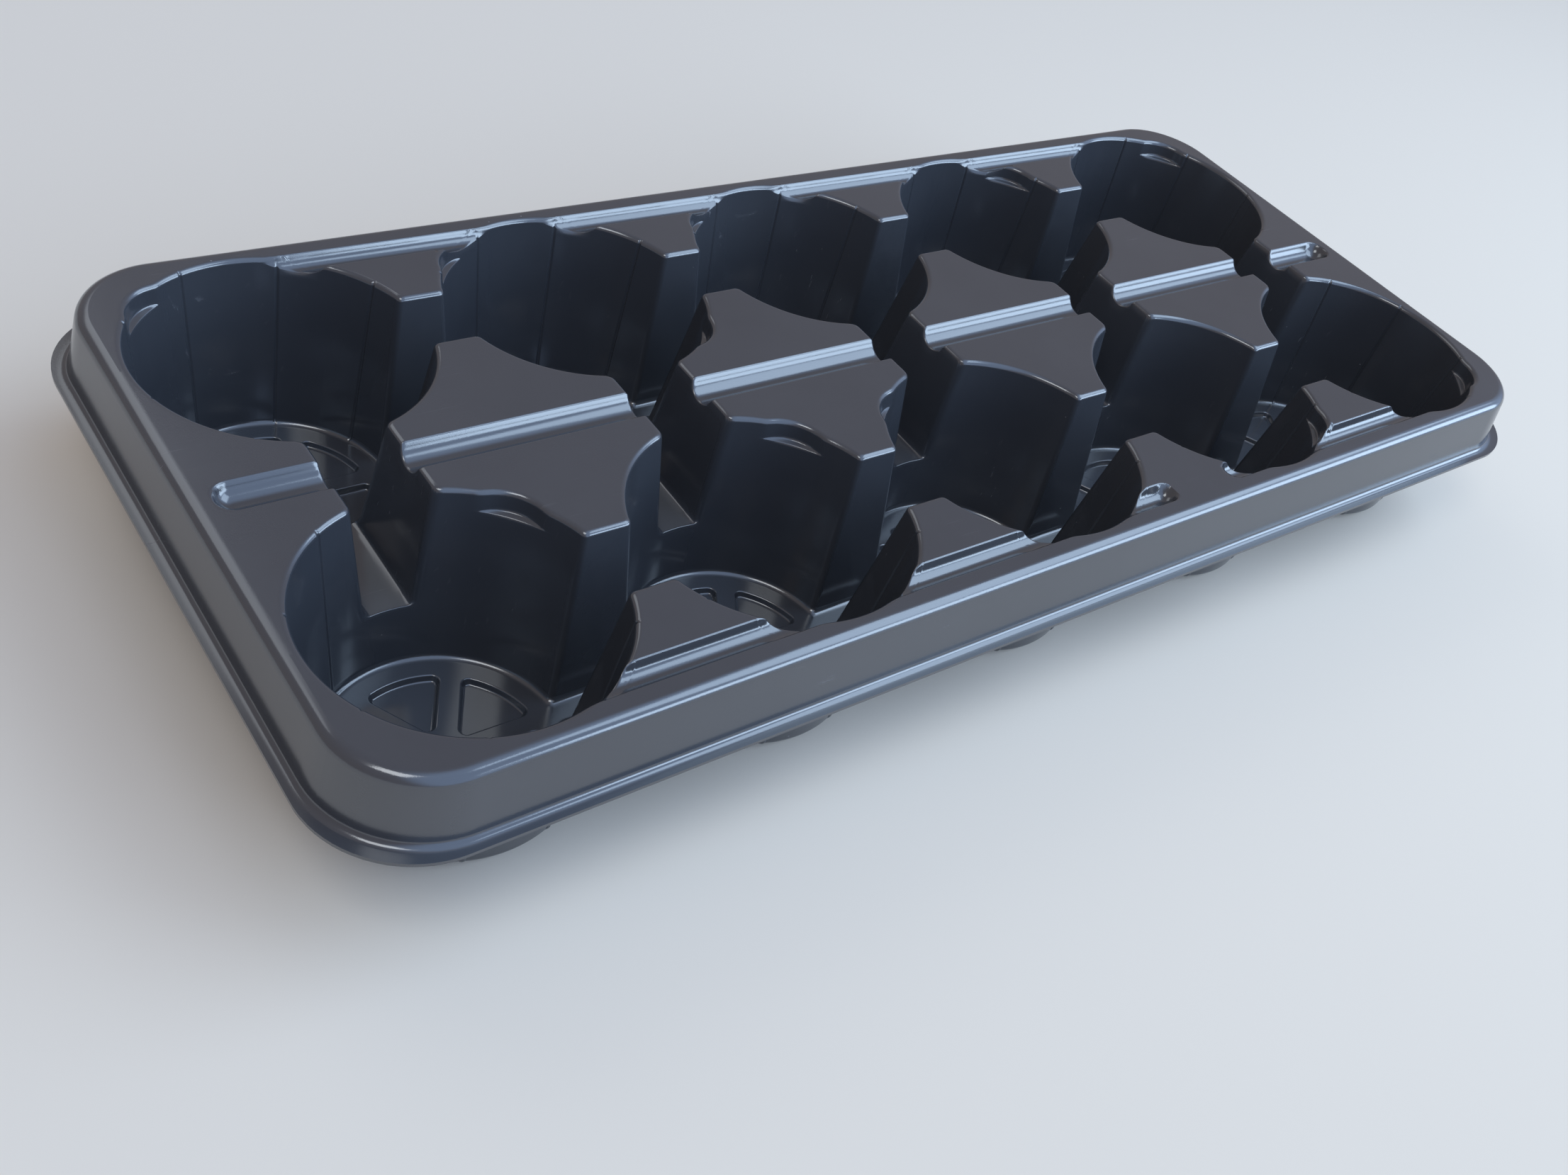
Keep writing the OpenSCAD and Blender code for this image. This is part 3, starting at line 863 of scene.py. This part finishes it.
def sheet_piece(name, upper, normals, thickness, faces):
    """Closed piece of sheet thickness for one region, with the whole sheet's shading."""
    used = np.unique(np.concatenate([f.ravel() for f in faces]))
    renumber = np.zeros(used.max() + 1, int)
    renumber[used] = np.arange(len(used))
    count = len(used)
    top = upper[used]
    way = normals[used]
    points = np.concatenate([top, top - way * thickness[used]]) * MM
    faces = [renumber[f] for f in faces]
    start, end = open_edges(faces)
    walls = np.stack([start, start + count, end + count, end], -1)
    wall_way = np.cross(points[start + count] - points[start], points[end] - points[start])
    wall_way /= np.maximum(np.linalg.norm(wall_way, axis=1), TINY)[:, None]
    polygons = []
    shading = []
    for face in faces:
        polygons += face.tolist() + (face[:, ::-1] + count).tolist()
        shading += [way[face].reshape(-1, 3), -way[face[:, ::-1]].reshape(-1, 3)]
    polygons += walls.tolist()
    shading.append(np.repeat(wall_way, 4, axis=0))
    mesh = bpy.data.meshes.new(name)
    mesh.from_pydata(points.tolist(), [], polygons)
    mesh.shade_smooth()
    mesh.normals_split_custom_set(np.concatenate(shading).tolist())
    piece = bpy.data.objects.new(name, mesh)
    bpy.context.scene.collection.objects.link(piece)
    return piece


class Finish:
    """Shader nodes of a material or a world."""

    def __init__(self, owner):
        owner.use_nodes = True
        self.owner = owner
        self.tree = owner.node_tree
        self.tree.nodes.clear()

    def node(self, kind, settings=None, output=0, **sockets):
        """Adds a node: its settings, then values or links of its sockets, by name or as i and a number."""
        node = self.tree.nodes.new(kind)
        for key, value in (settings or {}).items():
            setattr(node, key, value)
        for key, value in sockets.items():
            place = int(key[1:]) if key[1:].isdigit() else key.replace("_", " ")
            socket = node.inputs[place]
            if isinstance(value, Value):
                self.tree.links.new(value.socket, socket)
            else:
                socket.default_value = value
        return Value(self, node.outputs[output]) if node.outputs else None

    def mix(self, share, first, second):
        """Colour between two colours."""
        return self.node("ShaderNodeMix", {"data_type": "RGBA"}, output=2, i0=share, i6=first, i7=second)

    def dot(self, first, second):
        """Number from two vectors, or from a colour and its weights."""
        settings = {"operation": "DOT_PRODUCT"}
        return self.node("ShaderNodeVectorMath", settings, output=1, i0=first, i1=second)


class Value:
    """A socket that takes part in sums; each operation adds a Math node."""

    def __init__(self, finish, socket):
        self.finish = finish
        self.socket = socket

    def math(self, operation, first, second):
        return self.finish.node("ShaderNodeMath", {"operation": operation}, i0=first, i1=second)

    def __add__(self, other):
        return self.math("ADD", self, other)

    __radd__ = __add__

    def __sub__(self, other):
        return self.math("SUBTRACT", self, other)

    def __rsub__(self, other):
        return self.math("SUBTRACT", other, self)

    def __mul__(self, other):
        return self.math("MULTIPLY", self, other)

    __rmul__ = __mul__

    def __gt__(self, other):
        return self.math("GREATER_THAN", self, other)

    def __lt__(self, other):
        return self.math("LESS_THAN", self, other)

    def ramp(self, low, high, shape="LINEAR"):
        """0 below low, 1 above high and even or smooth between."""
        settings = {"interpolation_type": shape}
        return self.finish.node("ShaderNodeMapRange", settings, Value=self, From_Min=low, From_Max=high)


def black_sheet():
    """Satin black polystyrene sheet: fine grain, slow ripples from forming, scuffs and a little dust."""
    finish = Finish(bpy.data.materials.new("black_sheet"))
    place = finish.node("ShaderNodeTexCoord", output=3)
    grain = finish.node("ShaderNodeTexNoise", Vector=place, Scale=2600.0, Detail=2.0)
    ripple = finish.node("ShaderNodeTexNoise", Vector=place, Scale=38.0, Detail=2.0)
    patch = finish.node("ShaderNodeTexNoise", Vector=place, Scale=14.0, Detail=4.0, Roughness=0.6)
    stretched = finish.node("ShaderNodeMapping", Vector=place, Rotation=(0.3, 0.2, 0.6),
                            Scale=(40, 900, 160))
    hairs = finish.node("ShaderNodeTexNoise", Vector=stretched, Scale=1.0, Detail=3.0)
    scuffs = hairs.ramp(*HAIR_RANGE) * patch.ramp(*WORN_RANGE)
    tint = finish.mix(patch.ramp(*TINT_RANGE), TINT_DARK, TINT_LIGHT)
    dust = finish.node("ShaderNodeTexVoronoi", Vector=place, Scale=SPECK_SCALE)
    drawn = finish.node("ShaderNodeTexVoronoi", output=1, Vector=place, Scale=SPECK_SCALE)
    specks = (finish.dot(drawn, LOT_WEIGHTS) > SPECK_LOT) * (dust < SPECK_R)
    colour = finish.mix(scuffs * SCUFF_COVER + specks * SPECK_COVER, tint, DUST_COLOUR)
    roughness = (BASE_ROUGHNESS + grain * GRAIN_ROUGHNESS + patch * PATCH_ROUGHNESS
                 + scuffs * SCUFF_ROUGHNESS)
    height = grain * GRAIN_HEIGHT + ripple * RIPPLE_HEIGHT
    bump = finish.node("ShaderNodeBump", Height=height, Strength=0.5, Distance=1.0)
    plastic = finish.node("ShaderNodeBsdfPrincipled", Base_Color=colour, Roughness=roughness, Normal=bump,
                          IOR=1.55, Specular_IOR_Level=1.0)
    finish.node("ShaderNodeOutputMaterial", Surface=plastic)
    return finish.owner


def make_tray():
    """Splits the formed sheet into its regions, each standing for the solid of that name."""
    sheet = form_sheet()
    normals = sheet.normals()
    thickness = sheet.thickness(normals)
    groups = sheet.joined_faces()
    material = black_sheet()
    for name in sorted(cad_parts):
        faces = [numbers[regions == name] for numbers, regions in groups]
        faces = [f for f in faces if len(f)]
        piece = sheet_piece(name + "_formed", sheet.points, normals, thickness, faces)
        piece.data.materials.append(material)
        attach(piece, "root")
        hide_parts(name)


def make_floor():
    """Plain pale floor."""
    mesh = bpy.data.meshes.new("studio_floor")
    points = [(x * FLOOR_HALF, y * FLOOR_HALF, 0) for x, y in ((-1, -1), (1, -1), (1, 1), (-1, 1))]
    mesh.from_pydata(points, [], [(0, 1, 2, 3)])
    floor = bpy.data.objects.new("studio_floor", mesh)
    bpy.context.scene.collection.objects.link(floor)
    finish = Finish(bpy.data.materials.new("studio_white"))
    matte = finish.node("ShaderNodeBsdfDiffuse", Color=FLOOR_COLOUR)
    finish.node("ShaderNodeOutputMaterial", Surface=matte)
    mesh.materials.append(finish.owner)


def make_lamp(name, place, size, power, colour):
    """Soft box aimed at the tray."""
    data = bpy.data.lights.new(name, "AREA")
    data.shape = "RECTANGLE"
    data.size, data.size_y = size
    data.energy = power
    data.color = colour
    lamp = bpy.data.objects.new(name, data)
    lamp.location = place
    way = Vector(LAMP_TARGET) - Vector(place)
    lamp.rotation_euler = way.to_track_quat("-Z", "Y").to_euler()
    bpy.context.scene.collection.objects.link(lamp)


def make_light():
    """Soft dome, bright and cool at the front and dim and warm at the back, with four weak soft boxes."""
    make_lamp("high_box", (0.93, -0.53, 1.19), (1.25, 1.0), 13.0, COOL)
    make_lamp("low_strip", (1.11, -1.19, 0.5), (1.6, 0.5), 15.0, COOL)
    make_lamp("corner_box", (-0.8, -0.42, 1.4), (0.6, 0.6), 5.2, (0.9, 0.95, 1.0))
    make_lamp("back_panel", (-0.45, 1.38, 1.4), (1.3, 0.8), 3.6, (0.86, 0.93, 1.0))
    world = bpy.data.worlds.new("studio")
    bpy.context.scene.world = world
    dome = Finish(world)
    ahead = dome.dot(dome.node("ShaderNodeTexCoord"), DOME_FRONT)
    colour = dome.mix(ahead.ramp(*DOME_FADE, shape="SMOOTHSTEP"), DOME_DIM, DOME_BRIGHT)
    background = dome.node("ShaderNodeBackground", Color=colour, Strength=1.0)
    dome.node("ShaderNodeOutputWorld", Surface=background)


def make_camera():
    """Camera at the photograph's place."""
    data = bpy.data.cameras.new("camera")
    data.sensor_fit = "HORIZONTAL"
    data.sensor_width = SENSOR_W
    data.lens = FOCAL_PIXELS / PICTURE_W * SENSOR_W
    data.clip_start = CLIP_START
    camera = bpy.data.objects.new("camera", data)
    camera.location = CAMERA_PLACE
    camera.rotation_euler = Euler([math.radians(a) for a in CAMERA_TURN], "XYZ")
    bpy.context.scene.collection.objects.link(camera)
    bpy.context.scene.camera = camera


make_camera()
make_tray()
make_floor()
make_light()
bpy.context.scene.view_settings.view_transform = "Standard"
